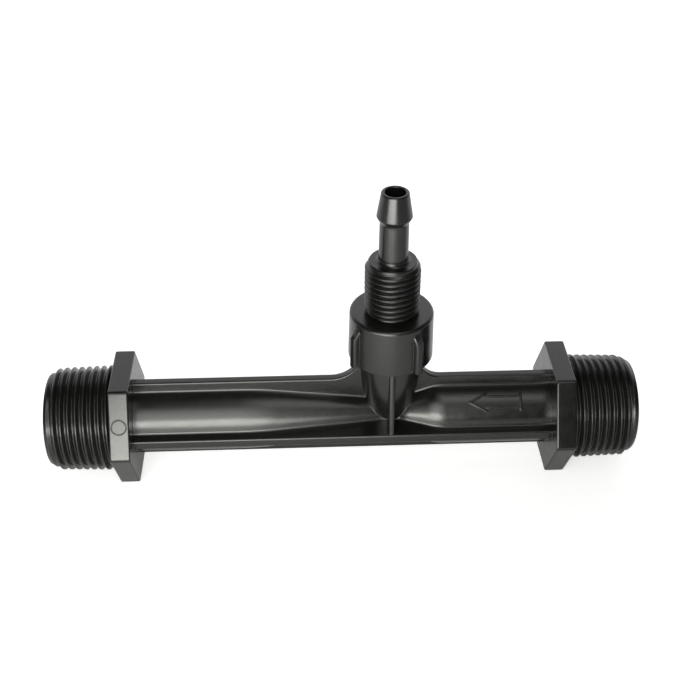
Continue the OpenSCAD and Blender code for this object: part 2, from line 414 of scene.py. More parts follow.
@dataclass(frozen=True)
class ThreadForm:
    """Right-hand screw thread with straight flanks and broken crests, on a bar along Z, in millimetres."""

    pitch: float
    crest_r: float
    depth: float
    taper: float = 0.0
    crest_share: float = 0.15
    root_share: float = 0.11
    crest_round: float = 0.1
    root_round: float = 0.16
    corner_steps: int = 3
    steps: int = 72
    start_share: float = 1.3
    spare_turns: int = 2

    def section(self) -> list[Point]:
        """Draws one pitch of the thread.

        Returns:
            The points as radius and height, from root to root.
        """
        root_r = self.crest_r - self.depth
        root = self.pitch * self.root_share / 2
        low = self.pitch * (1.0 - self.crest_share) / 2
        corners = [
            (root_r, 0.0, 0.0),
            (root_r, root, self.root_round),
            (self.crest_r, low, self.crest_round),
            (self.crest_r, self.pitch - low, self.crest_round),
            (root_r, self.pitch - root, self.root_round),
            (root_r, self.pitch, 0.0),
        ]
        return softened(corners, self.corner_steps)

    def build(self, length: float, face_r: float, lead_in: float) -> BMesh:
        """Winds the thread into a closed bar from Z = 0 up.

        Args:
            length: Length of the bar.
            face_r: Radius of the end face.
            lead_in: Length over which the crests run out to the end face.

        Returns:
            The threaded bar.
        """
        turns = math.ceil(length / self.pitch) + self.spare_turns
        start = self.start_share * self.pitch
        bm = bmesh.new()
        verts, edges = chain_of(bm, [(radius, 0.0, height - start) for radius, height in self.section()])
        spun(bm, [*verts, *edges], self.steps, self.pitch)
        turn = [*bm.verts, *bm.edges, *bm.faces]
        for count in range(1, turns):
            copy = bmesh.ops.duplicate(bm, geom=turn)["geom"]
            bmesh.ops.translate(bm, verts=verts_of(copy), vec=(0, 0, count * self.pitch))
        bmesh.ops.remove_doubles(bm, verts=bm.verts, dist=WELD_REACH)
        for height, below in ((0.0, True), (length, False)):
            bmesh.ops.bisect_plane(
                bm, geom=[*bm.verts, *bm.edges, *bm.faces], dist=CUT_REACH, plane_co=(0, 0, height),
                plane_no=(0, 0, 1), clear_inner=below, clear_outer=not below,
            )
        capped(bm)
        for vert in bm.verts:
            self._dress(vert, length, face_r, lead_in)
        return tidy(bm)

    def _dress(self, vert: BMVert, length: float, face_r: float, lead_in: float) -> None:
        """Draws one vertex in for the thread's taper and its lead-in.

        Args:
            vert: Vertex of the bar.
            length: Length of the bar.
            face_r: Radius of the end face.
            lead_in: Length over which the crests run out to the end face.
        """
        radius = vert.co.xy.length
        wanted = radius - self.taper * (vert.co.z - length / 2)
        left = length - vert.co.z
        if left < lead_in:
            wanted = min(wanted, face_r + (self.crest_r - face_r) * left / lead_in)
        if radius > LEVEL_REACH:
            vert.co.x *= wanted / radius
            vert.co.y *= wanted / radius


@dataclass(frozen=True)
class Grain:
    """Noise of one grain size, with the height of its relief, in millimetres."""

    size: float
    detail: float
    finer_share: float
    height: float = 0.0


@dataclass(frozen=True)
class NodeBench:
    """Node tree of a finish, a soft box or the world, and the set-ups that they share."""

    tree: NodeTree

    def add(self, kind: str) -> Node:
        """Adds a shader node of a kind and returns it."""
        return self.tree.nodes.new(f"ShaderNode{kind}")

    def link(self, source: NodeSocket, target: NodeSocket) -> None:
        """Leads one socket to another."""
        self.tree.links.new(source, target)

    def dial(self, node: Node, values: dict[str, float | Sequence[float]]) -> None:
        """Sets inputs of a node by their names."""
        for name, value in values.items():
            node.inputs[name].default_value = value

    def speckle(self, place: NodeSocket, grain: Grain) -> NodeSocket:
        """Adds a noise of one grain size.

        Args:
            place: Socket of the coordinates, in metres.
            grain: Size and detail of the noise.

        Returns:
            The socket of the noise, from 0 to 1.
        """
        node = self.add("TexNoise")
        scale = 1.0 / (grain.size * MILLIMETRE)
        self.dial(node, {"Scale": scale, "Detail": grain.detail, "Roughness": grain.finer_share})
        self.link(place, node.inputs["Vector"])
        return node.outputs["Fac"]

    def relief(self, source: NodeSocket, grain: Grain, under: NodeSocket | None = None) -> NodeSocket:
        """Adds a bump as high as a grain.

        Args:
            source: Socket that gives the height, from 0 to 1.
            grain: Grain with the height from the lowest to the highest point.
            under: Socket of the normal under the bump, if there is one.

        Returns:
            The socket of the bumped normal.
        """
        node = self.add("Bump")
        self.dial(node, {"Strength": 1.0, "Distance": grain.height * MILLIMETRE})
        self.link(source, node.inputs["Height"])
        if under is not None:
            self.link(under, node.inputs["Normal"])
        return node.outputs["Normal"]

    def tint(self, share: NodeSocket, first: Colour, last: Colour) -> NodeSocket:
        """Mixes two colours.

        Args:
            share: Socket of the last colour's share.
            first: Colour at a share of 0.
            last: Colour at a share of 1.

        Returns:
            The socket of the mixed colour.
        """
        node = self.add("Mix")
        node.data_type = "RGBA"
        self.dial(node, {"A": (*first, 1.0), "B": (*last, 1.0)})
        self.link(share, node.inputs["Factor"])
        return node.outputs["Result"]

    def ramp(
        self, source: NodeSocket, given: Point, wanted: Point, easing: Easing = Easing.SMOOTH
    ) -> NodeSocket:
        """Maps a range of values to another.

        Args:
            source: Socket of the value.
            given: First and last value of the range.
            wanted: Values that they become.
            easing: Way from the first to the last.

        Returns:
            The socket of the mapped value.
        """
        node = self.add("MapRange")
        node.interpolation_type = easing.value
        self.dial(node, {"From Min": given[0], "From Max": given[1]})
        self.dial(node, {"To Min": wanted[0], "To Max": wanted[1]})
        self.link(source, node.inputs["Value"])
        return node.outputs["Result"]

    def reckon(self, kind: Reckoning, first: NodeSocket, second: NodeSocket) -> NodeSocket:
        """Works out a sum of two values.

        Args:
            kind: Kind of sum.
            first: Socket of the first value.
            second: Socket of the second value.

        Returns:
            The socket of the result.
        """
        node = self.add("Math")
        node.operation = kind.value
        self.link(first, node.inputs[0])
        self.link(second, node.inputs[1])
        return node.outputs["Value"]


def fresh_material(name: str) -> tuple[Material, NodeBench, Node]:
    """Makes a material with a plain Principled shader.

    Args:
        name: Name of the material.

    Returns:
        The material, the bench of its nodes and the shader node.
    """
    material = bpy.data.materials.new(name)
    material.use_nodes = True
    tree = material.node_tree
    return material, NodeBench(tree), tree.nodes["Principled BSDF"]


@dataclass(frozen=True)
class MouldedPlastic:
    """Moulded plastic with a faint orange peel, a fine grain and softly broken edges, in millimetres."""

    name: str
    dark: Colour
    light: Colour
    smooth: float
    rough: float
    gloss: float = 0.75
    refraction: float = 1.5
    mottle: Grain = Grain(2.2, 4.0, 0.6)
    mottle_range: Point = (0.3, 0.7)
    peel: Grain = Grain(0.8, 3.0, 0.6, 0.018)
    grain: Grain = Grain(0.22, 2.0, 0.5, 0.004)
    edge: float = 0.3
    edge_samples: int = 6

    def material(self) -> Material:
        """Builds the plastic's nodes on Object coordinates.

        Returns:
            The material.
        """
        material, bench, shader = fresh_material(self.name)
        place = bench.add("TexCoord").outputs["Object"]
        mottle = bench.speckle(place, self.mottle)
        bench.link(bench.tint(mottle, self.dark, self.light), shader.inputs["Base Color"])
        polish = bench.ramp(mottle, self.mottle_range, (self.smooth, self.rough), Easing.STRAIGHT)
        bench.link(polish, shader.inputs["Roughness"])
        edge = bench.add("Bevel")
        edge.samples = self.edge_samples
        bench.dial(edge, {"Radius": self.edge * MILLIMETRE})
        coarse = bench.relief(bench.speckle(place, self.peel), self.peel, edge.outputs["Normal"])
        fine = bench.relief(bench.speckle(place, self.grain), self.grain, coarse)
        bench.link(fine, shader.inputs["Normal"])
        bench.dial(shader, {"IOR": self.refraction, "Specular IOR Level": self.gloss})
        return material


@dataclass(frozen=True)
class SealRubber:
    """Matt black rubber with a dusty bloom."""

    name: str
    dark: Colour = (0.012, 0.012, 0.012)
    bloom: Colour = (0.03, 0.03, 0.032)
    dust: Grain = Grain(0.8, 5.0, 0.65, 0.01)
    rough: float = 0.62

    def material(self) -> Material:
        """Builds the rubber's nodes on Object coordinates.

        Returns:
            The material.
        """
        material, bench, shader = fresh_material(self.name)
        dust = bench.speckle(bench.add("TexCoord").outputs["Object"], self.dust)
        bench.link(bench.tint(dust, self.dark, self.bloom), shader.inputs["Base Color"])
        bench.link(bench.relief(dust, self.dust), shader.inputs["Normal"])
        bench.dial(shader, {"Roughness": self.rough})
        return material


@dataclass(frozen=True)
class DrawnSteel:
    """Drawn spring wire with fine streaks."""

    name: str
    bright: Colour = (0.66, 0.66, 0.68)
    dull: Colour = (0.42, 0.42, 0.44)
    streak: Grain = Grain(0.18, 3.0, 0.7)
    smooth: float = 0.22
    rough: float = 0.42

    def material(self) -> Material:
        """Builds the wire's nodes on Object coordinates.

        Returns:
            The material.
        """
        material, bench, shader = fresh_material(self.name)
        streak = bench.speckle(bench.add("TexCoord").outputs["Object"], self.streak)
        bench.link(bench.tint(streak, self.bright, self.dull), shader.inputs["Base Color"])
        wear = bench.ramp(streak, (0.0, 1.0), (self.smooth, self.rough), Easing.STRAIGHT)
        bench.link(wear, shader.inputs["Roughness"])
        bench.dial(shader, {"Metallic": 1.0})
        return material


def finished(bm: BMesh, name: str, body: Body, material: Material) -> Object:
    """Sets a piece in the shared frame, shades it and lets it ride on its body.

    Args:
        bm: Mesh of the piece in millimetres, which is freed.
        name: Name of the piece.
        body: Body that carries the piece.
        material: Finish of the piece.

    Returns:
        The piece's object.
    """
    placed(bm, DATUM.matrix())
    for face in bm.faces:
        face.smooth = True
    piece = bench_object(bm, name)
    bpy.context.scene.collection.objects.link(piece)
    piece.data.set_sharp_from_angle(angle=math.radians(SHARP_ANGLE))
    piece.data.materials.append(material)
    evener = piece.modifiers.new("even_normals", "WEIGHTED_NORMAL")
    evener.keep_sharp = True
    evener.weight = NORMAL_WEIGHT
    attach(piece, body.value)
    LOG.info("%s: %d vertices on %s", name, len(piece.data.vertices), body.value)
    return piece


@dataclass
class InjectorBody:
    """Moulded body: threaded ends, hexagonal collars, webbed tube and suction boss, in millimetres."""

    # Runs from the port's axis to the collars, and how far one solid reaches into the next
    inlet_run: float = 39.4
    outlet_run: float = 62.5
    overlap: float = 1.0

    # Collars, with the least angle of a rim's edge in degrees
    collar_sides: int = 6
    collar_across_flats: float = 28.8
    collar_thickness: float = 4.8
    collar_corner_round: float = 0.6
    collar_corner_steps: int = 5
    collar_rim_round: float = 0.4
    collar_rim_steps: int = 3
    collar_rim_angle: float = 60.0

    # Threaded ends and their bores
    end_length: float = 16.0
    end_face_r: float = 11.2
    end_lead_in: float = 2.6
    end_bore_r: float = 9.5
    end_bore_overrun: float = 0.5
    end_thread: ThreadForm = ThreadForm(pitch=1.814, crest_r=12.8, depth=1.16, taper=0.03125)
    bore_step: float = 3.2
    bore_step_round: float = 1.0
    lip_depth: float = 0.4
    lip_flare: float = 0.9
    lip_round: float = 0.6
    lip_beyond: float = 0.5

    # Tube, cones and throat, outside and inside
    tube_r: float = 8.5
    tube_wall: float = 2.0
    throat_r: float = 5.0
    throat_half: float = 2.2
    inlet_cone: float = 9.0
    outlet_cone: float = 30.0
    outlet_cone_round: float = 80.0
    throat_outlet_round: float = 4.0
    throat_inlet_round: float = 3.0
    inlet_cone_round: float = 12.0
    cone_steps: int = 6
    diffuser_round: float = 12.0
    nozzle_round: float = 3.0

    # Webs and the top web's rises
    web_reach: float = 11.1
    web_thickness: float = 2.25
    web_edge_round: float = 0.4
    web_foot_round: float = 0.6
    web_round_steps: int = 4
    skin_steps: int = 12
    outlet_rise_r: float = 7.0
    inlet_rise_r: float = 5.0
    rise_gap: float = 0.05
    rise_root: float = 2.0
    rise_steps: int = 14

    # Gussets
    gusset_thickness: float = 1.4
    gusset_round: float = 0.5
    gusset_root: float = 2.0
    gusset_drop: float = 0.4

    # Boss, spigot and suction passage
    boss_height: float = 18.0
    boss_top_r: float = 7.4
    boss_foot_r: float = 4.7
    boss_rim_round: float = 0.35
    boss_steps: int = 20
    spigot_top: float = 26.14
    spigot_chamfer: float = 0.5
    spigot_face_drop: float = 0.6
    spigot_thread: ThreadForm = ThreadForm(pitch=1.5, crest_r=7.0, depth=0.6)
    suction_r: float = 1.75
    suction_steps: int = 64
    pocket_r: float = 3.4
    pocket_floor: float = 22.04
    pocket_lip: float = 0.3
    pocket_flare: float = 0.5
    pocket_beyond: float = 0.2

    # Gate nub
    nub_x: float = 6.9
    nub_r: float = 0.6
    nub_height: float = 0.45
    nub_round: float = 0.2
    nub_steps: int = 32

    def section(self, radius: float) -> list[Point]:
        """Draws the tube and its four webs in Y and Z, with filleted feet and rounded edges.

        Args:
            radius: Outside radius of the tube at this place.

        Returns:
            The closed outline's points.
        """
        half = self.web_thickness / 2
        edge = self.web_edge_round
        foot = self.web_foot_round
        stand = math.sqrt((radius + foot) ** 2 - (half + foot) ** 2)
        meet = math.degrees(math.atan2(half + foot, stand))
        flank = [
            *arc((self.web_reach - edge, half - edge), edge, 0.0, 90.0, self.web_round_steps),
            *arc((stand, half + foot), foot, 270.0, 180.0 + meet, self.web_round_steps),
        ]
        skin = arc((0.0, 0.0), radius, meet, 90.0 - meet, self.skin_steps)[1:-1]
        quarter = [Vector(point) for point in [*flank, *skin, *[(z, y) for y, z in reversed(flank)]]]
        turns = [Matrix.Rotation(math.radians(90.0 * side), 2) for side in range(4)]
        return [tuple(turn @ point) for turn in turns for point in quarter]

    def stations(self) -> list[Point]:
        """Draws the outside of the tube from the outlet collar to the inlet collar.

        Returns:
            The places along the tube with the outside radius at each.
        """
        corners = [
            (-self.outlet_run - self.overlap, self.tube_r, 0.0),
            (-self.throat_half - self.outlet_cone, self.tube_r, self.outlet_cone_round),
            (-self.throat_half, self.throat_r, self.throat_outlet_round),
            (self.throat_half, self.throat_r, self.throat_inlet_round),
            (self.throat_half + self.inlet_cone, self.tube_r, self.inlet_cone_round),
            (self.inlet_run + self.overlap, self.tube_r, 0.0),
        ]
        return softened(corners, self.cone_steps)

    def bar(self) -> BMesh:
        """Lofts the webbed tube from collar to collar.

        Returns:
            The tube and its webs as one closed solid.
        """
        (foot_x, foot_r), *others = self.stations()
        bm = bmesh.new()
        verts, ring = chain_of(bm, [(foot_x, y, z) for y, z in self.section(foot_r)], closed=True)
        for x, radius in others:
            grown = bmesh.ops.extrude_edge_only(bm, edges=ring)["geom"]
            fresh = set(verts_of(grown))
            verts = [next(e.other_vert(v) for e in v.link_edges if e.other_vert(v) in fresh) for v in verts]
            ring = [item for item in grown if isinstance(item, BMEdge) and fresh.issuperset(item.verts)]
            for vert, (y, z) in zip(verts, self.section(radius)):
                vert.co = (x, y, z)
        return tidy(capped(bm))

    def collar(self) -> BMesh:
        """Makes a hexagonal collar that stands on its inner face.

        Returns:
            The collar with rounded corners and rims.
        """
        bm = bmesh.new()
        corner_r = self.collar_across_flats / 2 / math.cos(math.radians(180.0 / self.collar_sides))
        bmesh.ops.create_circle(bm, cap_ends=True, segments=self.collar_sides, radius=corner_r)
        thickened(bm, (0.0, 0.0, self.collar_thickness))
        upright = self.collar_thickness / 2
        corners = [edge for edge in bm.edges if abs(edge.verts[0].co.z - edge.verts[1].co.z) > upright]
        round_edges(bm, corners, self.collar_corner_round, self.collar_corner_steps)
        sharp = math.radians(self.collar_rim_angle)
        rims = [edge for edge in bm.edges if edge.calc_face_angle(0.0) > sharp]
        round_edges(bm, rims, self.collar_rim_round, self.collar_rim_steps)
        return tidy(bm)

    def threaded_end(self) -> BMesh:
        """Winds a pipe thread that starts inside its collar and returns it."""
        bar = self.end_thread.build(self.end_length + self.overlap, self.end_face_r, self.end_lead_in)
        return raised(bar, self.collar_thickness - self.overlap)

    def boss(self) -> BMesh:
        """Turns the bulging boss.

        Returns:
            The boss, from the tube's axis up.
        """
        sag = self.boss_top_r - self.boss_foot_r
        sweep_r = (self.boss_height**2 + sag**2) / (2 * sag)
        sweep = math.degrees(math.asin(self.boss_height / sweep_r))
        side = arc((self.boss_top_r - sweep_r, self.boss_height), sweep_r, -sweep, 0.0, self.boss_steps)
        crown = [(*point, 0.0) for point in side[:-1]]
        crown += [(self.boss_top_r, self.boss_height, self.boss_rim_round), (0.0, self.boss_height, 0.0)]
        return turned([(0.0, 0.0), *softened(crown)])

    def spigot(self) -> BMesh:
        """Winds the spigot's thread, on which the cap is screwed.

        Returns:
            The spigot, which starts inside the boss.
        """
        length = self.spigot_top - self.boss_height + self.overlap
        face_r = self.spigot_thread.crest_r - self.spigot_face_drop
        bar = self.spigot_thread.build(length, face_r, self.spigot_chamfer)
        return raised(bar, self.boss_height - self.overlap)

    def web_rise(self, fillet_r: float, side: float) -> BMesh:
        """Makes the top web's rise to the boss.

        Args:
            fillet_r: Radius of its hollow curve.
            side: 1 towards the inlet, -1 towards the outlet.

        Returns:
            The rise as a closed plate.
        """
        far = self.boss_top_r + fillet_r
        centre_z = self.web_reach + fillet_r
        spare = max(0.0, centre_z - (self.boss_height - self.rise_gap))
        sweep = math.degrees(math.acos(spare / fillet_r))
        hollow = arc((far, centre_z), fillet_r, 270.0, 270.0 - sweep, self.rise_steps)
        outline = [
            (self.overlap, self.web_reach - self.rise_root),
            (far + self.rise_root, self.web_reach - self.rise_root),
            (far + self.rise_root, self.web_reach),
            *hollow,
            (self.overlap, hollow[-1][1]),
        ]
        return plate([(side * x, z) for x, z in outline], self.web_thickness, self.web_edge_round)

    def gusset(self, turn: float) -> BMesh:
        """Makes a thin gusset from the boss's shoulder out to a web's edge.

        Args:
            turn: Turn about the port's axis, in degrees.

        Returns:
            The gusset as a closed plate.
        """
        foot = self.web_reach - self.web_edge_round
        top = self.boss_height - self.gusset_drop
        outline = [
            (self.gusset_root, 0.0),
            (foot, 0.0),
            (foot, self.web_thickness / 2),
            (self.boss_top_r, top),
            (self.gusset_root, top),
        ]
        return swung(plate(outline, self.gusset_thickness, self.gusset_round), turn)

    def nub(self) -> BMesh:
        """Turns the gate nub under the front web.

        Returns:
            The nub, from the middle of the web down.
        """
        low = -self.web_thickness / 2 - self.nub_height
        outline = [
            (0.0, low, 0.0),
            (self.nub_r, low, self.nub_round),
            (self.nub_r, 0.0, 0.0),
            (0.0, 0.0, 0.0),
        ]
        place = Matrix.Translation((self.nub_x, 2 * self.nub_r - self.web_reach, 0.0))
        return placed(turned(softened(outline), self.nub_steps), place)

    def mouth(self, run: float) -> list[Corner]:
        """Draws the bore of one end, from the step in the tube to the outside.

        Args:
            run: Run from the port's axis to the end's collar.

        Returns:
            The corners as radius, distance along the tube and rounding.
        """
        step = run + self.collar_thickness - self.end_bore_overrun
        end = run + self.collar_thickness + self.end_length
        return [
            (self.tube_r - self.tube_wall, step - self.bore_step, self.bore_step_round),
            (self.end_bore_r, step, self.bore_step_round),
            (self.end_bore_r, end - self.lip_depth, self.lip_round),
            (self.end_bore_r + self.lip_flare, end + self.lip_beyond, 0.0),
            (0.0, end + self.lip_beyond, 0.0),
        ]

    def water_way(self) -> BMesh:
        """Turns the nozzle, the throat, the diffuser and both mouths.

        Returns:
            The whole passage along the tube.
        """
        bore = self.tube_r - self.tube_wall
        throat = self.throat_r - self.tube_wall
        outline = [
            *[(radius, -x, rounding) for radius, x, rounding in reversed(self.mouth(self.outlet_run))],
            (bore, -self.throat_half - self.outlet_cone, self.diffuser_round),
            (throat, -self.throat_half, self.nozzle_round),
            (throat, self.throat_half, self.nozzle_round),
            (bore, self.throat_half + self.inlet_cone, self.nozzle_round),
            *self.mouth(self.inlet_run),
        ]
        return placed(turned(softened(outline)), along_tube(0.0, True))

    def suction_way(self) -> BMesh:
        """Turns the suction passage and the spring's pocket.

        Returns:
            Both as one passage, from the throat up.
        """
        beyond = self.spigot_top + self.pocket_beyond
        outline = [
            (0.0, 0.0),
            (self.suction_r, 0.0),
            (self.suction_r, self.pocket_floor),
            (self.pocket_r, self.pocket_floor),
            (self.pocket_r, self.spigot_top - self.pocket_lip),
            (self.pocket_r + self.pocket_flare, beyond),
            (0.0, beyond),
        ]
        return turned(outline, self.suction_steps)

    def build(self, finish: MouldedPlastic) -> Object:
        """Builds the moulding and dresses it.

        Args:
            finish: Finish of the body.

        Returns:
            The body's piece, which stands for its CAD node.
        """
        outlet_foot = along_tube(-self.outlet_run, False)
        inlet_foot = along_tube(self.inlet_run, True)
        parts = [
            self.bar(),
            placed(self.collar(), inlet_foot),
            placed(self.collar(), outlet_foot),
            placed(self.threaded_end(), inlet_foot),
            placed(self.threaded_end(), outlet_foot),
            self.boss(),
            self.spigot(),
            self.web_rise(self.inlet_rise_r, 1.0),
            self.web_rise(self.outlet_rise_r, -1.0),
            self.gusset(-90.0),
            self.gusset(90.0),
            self.nub(),
            *FlowArrow(self.tube_r).strokes(),
        ]
        mark = MouldMark(self.collar_across_flats / 2, -self.outlet_run - self.collar_thickness / 2)
        whole = moulded("body", parts, [self.water_way(), self.suction_way(), mark.groove()])
        piece = finished(whole, "body_moulding", Body.INJECTOR, finish.material())
        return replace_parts(piece, "injector_body")


@dataclass
class FlowArrow:
    """Flow arrow in raised lines on the inlet tube, in millimetres and degrees round the tube."""

    tube_r: float
    tip_x: float = 19.4
    head_x: float = 23.4
    tail_x: float = 31.9
    middle: float = 48.9
    head_half: float = 14.6
    shaft_half: float = 9.4
    tail_half: float = 14.0
    line: float = 0.42
    height: float = 0.2
    sunk: float = 0.4
    crest_round: float = 0.12
    crest_steps: int = 2
    bends: int = 7

    def strokes(self) -> list[BMesh]:
        """Draws the arrow's lines and wraps them round the tube.

        Returns:
            The lines as closed solids.
        """
        side = math.radians(1.0) * self.tube_r
        lines = [
            ((self.tip_x, 0.0), (self.head_x, self.head_half * side)),
            ((self.tip_x, 0.0), (self.head_x, -self.head_half * side)),
            ((self.head_x, self.shaft_half * side), (self.tail_x, self.shaft_half * side)),
            ((self.head_x, -self.shaft_half * side), (self.tail_x, -self.shaft_half * side)),
            ((self.tail_x, -self.tail_half * side), (self.tail_x, self.tail_half * side)),
        ]
        return [self._stroke(Vector(start), Vector(end)) for start, end in lines]

    def _stroke(self, start: Vector, end: Vector) -> BMesh:
        """Wraps one raised line round the tube.

        Args:
            start: First end, along the tube and round it.
            end: Last end, along the tube and round it.

        Returns:
            The line as a closed solid.
        """
        run = end - start
        deep = self.height + self.sunk
        bm = bmesh.new()
        bmesh.ops.create_cube(bm, size=1.0)
        bmesh.ops.scale(bm, vec=(run.length + self.line, self.line, deep), verts=bm.verts)
        crest = [edge for edge in bm.edges if all(vert.co.z > 0 for vert in edge.verts)]
        round_edges(bm, crest, self.crest_round, self.crest_steps)
        half_run = run.length / 2
        long_edges = [edge for edge in bm.edges if abs(edge.verts[0].co.x - edge.verts[1].co.x) > half_run]
        bmesh.ops.subdivide_edges(bm, edges=long_edges, cuts=self.bends, use_grid_fill=True)
        swing = Matrix.Rotation(math.atan2(run.y, run.x), 4, "Z")
        middle = (start + end) / 2
        lift = self.height - deep / 2
        placed(bm, Matrix.Translation((middle.x, middle.y, lift)) @ swing)
        for vert in bm.verts:
            angle = math.radians(self.middle) + vert.co.y / self.tube_r
            reach = self.tube_r + vert.co.z
            vert.co = (vert.co.x, -reach * math.cos(angle), reach * math.sin(angle))
        return tidy(bm)


@dataclass
class MouldMark:
    """Plain ring pressed into the front flat of the outlet collar, in millimetres and degrees."""

    flat_r: float
    middle_x: float
    ring_r: float = 1.75
    ring_steps: int = 48
    section_r: float = 0.12
    section_sides: int = 12
    flat_rise: float = 30.0

    def groove(self) -> BMesh:
        """Turns the ring's groove and lays it on the flat.

        Returns:
            The ring that is cut out of the collar.
        """
        last = 360.0 - 360.0 / self.section_sides
        section = arc((self.ring_r, 0.0), self.section_r, 0.0, last, self.section_sides - 1)
        ring = turned(section, self.ring_steps, closed=True)
        rise = math.radians(self.flat_rise)
        lean = Matrix.Rotation(math.radians(90.0 - self.flat_rise), 4, "X")
        flat = Vector((0.0, -math.cos(rise), math.sin(rise))) * self.flat_r
        return placed(ring, Matrix.Translation((self.middle_x, flat.y, flat.z)) @ lean)


@dataclass
class SuctionCap:
    """Screw-on cap: ribbed skirt, threaded port and hose barb, in millimetres above the tube's axis."""

    # Skirt and the relief on it
    base_z: float = 18.5
    shoulder_z: float = 30.8
    base_r: float = 10.15
    top_r: float = 9.9
    base_round: float = 0.25
    rim_round: float = 0.8
    relief_r: float = 5.6
    relief_length: float = 0.8
    relief_round: float = 0.25
    relief_overlap: float = 0.6
    round_steps: int = 6
    skirt_steps: int = 128

    # Threaded port
    port_top_z: float = 44.4
    port_chamfer: float = 1.0
    port_lead_in: float = 1.7
    port_thread: ThreadForm = ThreadForm(pitch=1.411, crest_r=6.5, depth=0.88, steps=64)

    # Stem and barb
    barb_top_z: float = 61.8
    stem_root: float = 0.4
    stem_flange_drop: float = 0.01
    stem_flange_rise: float = 0.02
    stem_fillet: float = 0.9
    stem_foot_r: float = 3.42
    stem_neck_r: float = 3.31
    neck_round: float = 1.2
    barb_r: float = 4.08
    barb_round: float = 0.16
    tip_r: float = 3.12
    tip_round: float = 0.3
    nose: float = 5.9
    back_slope: float = 1.4
    stem_steps: int = 72

    # Socket, valve chamber and bore
    socket_r: float = 7.05
    socket_lip: float = 0.5
    socket_flare: float = 0.6
    roof_z: float = 27.7
    chamber_r: float = 4.2
    seat_z: float = 36.1
    seat_throat_r: float = 2.47
    seat_throat_height: float = 1.4
    bore_r: float = 2.34
    bore_lip: float = 0.15
    bore_flare: float = 0.35
    bore_beyond: float = 0.2

    # Grip ribs, with their turn in degrees
    rib_count: int = 4
    rib_turn: float = -57.0
    rib_width: float = 2.0
    rib_reach: float = 1.3
    rib_height: float = 10.6
    rib_slope: float = 2.3
    rib_round: float = 0.5
    rib_root: float = 1.0
    rib_foot: float = 0.15
    rib_top_sunk: float = 0.1

    def skirt(self) -> BMesh:
        """Turns the skirt with its rounded rim and the relief on it.

        Returns:
            The skirt, still without its socket.
        """
        relief_z = self.shoulder_z + self.relief_length + self.relief_overlap
        outline = [
            (0.0, self.base_z, 0.0),
            (self.base_r, self.base_z, self.base_round),
            (self.top_r, self.shoulder_z, self.rim_round),
            (self.relief_r, self.shoulder_z, self.relief_round),
            (self.relief_r, relief_z, 0.0),
            (0.0, relief_z, 0.0),
        ]
        return turned(softened(outline, self.round_steps), self.skirt_steps)

    def port(self) -> BMesh:
        """Winds the port's thread above the relief.

        Returns:
            The port, still without its bore.
        """
        foot = self.shoulder_z + self.relief_length
        face_r = self.port_thread.crest_r - self.port_chamfer
        return raised(self.port_thread.build(self.port_top_z - foot, face_r, self.port_lead_in), foot)

    def barb(self) -> BMesh:
        """Turns the stem and the barb.

        Returns:
            Both as one solid, still without its bore.
        """
        edge_z = self.barb_top_z - self.nose
        flange_r = self.stem_foot_r + 2 * self.stem_fillet
        outline = [
            (0.0, self.port_top_z - self.stem_root, 0.0),
            (flange_r, self.port_top_z - self.stem_root, 0.0),
            (flange_r, self.port_top_z - self.stem_flange_drop, 0.0),
            (self.stem_foot_r, self.port_top_z + self.stem_flange_rise, self.stem_fillet),
            (self.stem_neck_r, edge_z - self.back_slope, self.neck_round),
            (self.barb_r, edge_z, self.barb_round),
            (self.tip_r, self.barb_top_z, self.tip_round),
            (0.0, self.barb_top_z, 0.0),
        ]
        return turned(softened(outline, self.round_steps), self.stem_steps)

    def ribs(self) -> list[BMesh]:
        """Makes the grip ribs, upright outside and sloped at the top.

        Returns:
            The ribs as closed plates round the skirt.
        """
        outer = self.base_r + self.rib_reach
        inner = self.top_r - self.rib_root
        foot = self.base_z + self.rib_foot
        top = self.base_z + self.rib_height
        outline = [
            (inner, foot),
            (outer, foot),
            (outer, top - self.rib_slope),
            (self.top_r - self.rib_top_sunk, top),
            (inner, top),
        ]
        turns = [self.rib_turn + 360.0 * rib / self.rib_count for rib in range(self.rib_count)]
        return [swung(plate(outline, self.rib_width, self.rib_round), turn) for turn in turns]

    def inside(self) -> BMesh:
        """Turns the socket, the valve chamber, its seat and the barb's bore.

        Returns:
            All of them as one passage.
        """
        throat_z = self.seat_z + self.chamber_r - self.seat_throat_r
        below = self.base_z - self.socket_lip
        beyond = self.barb_top_z + self.bore_beyond
        outline = [
            (0.0, below),
            (self.socket_r + self.socket_flare, below),
            (self.socket_r, self.base_z + self.socket_lip),
            (self.socket_r, self.roof_z),
            (self.chamber_r, self.roof_z),
            (self.chamber_r, self.seat_z),
            (self.seat_throat_r, throat_z),
            (self.bore_r, throat_z + self.seat_throat_height),
            (self.bore_r, self.barb_top_z - self.bore_lip),
            (self.bore_r + self.bore_flare, beyond),
            (0.0, beyond),
        ]
        return turned(outline, self.stem_steps)

    def build(self, finish: MouldedPlastic) -> Object:
        """Builds the cap and dresses it.

        Args:
            finish: Finish of the cap.

        Returns:
            The cap's piece, which stands for its CAD node.
        """
        parts = [self.skirt(), self.port(), self.barb(), *self.ribs()]
        whole = moulded("cap", parts, [self.inside()])
        piece = finished(whole, "cap_moulding", Body.CAP, finish.material())
        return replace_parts(piece, "suction_cap")


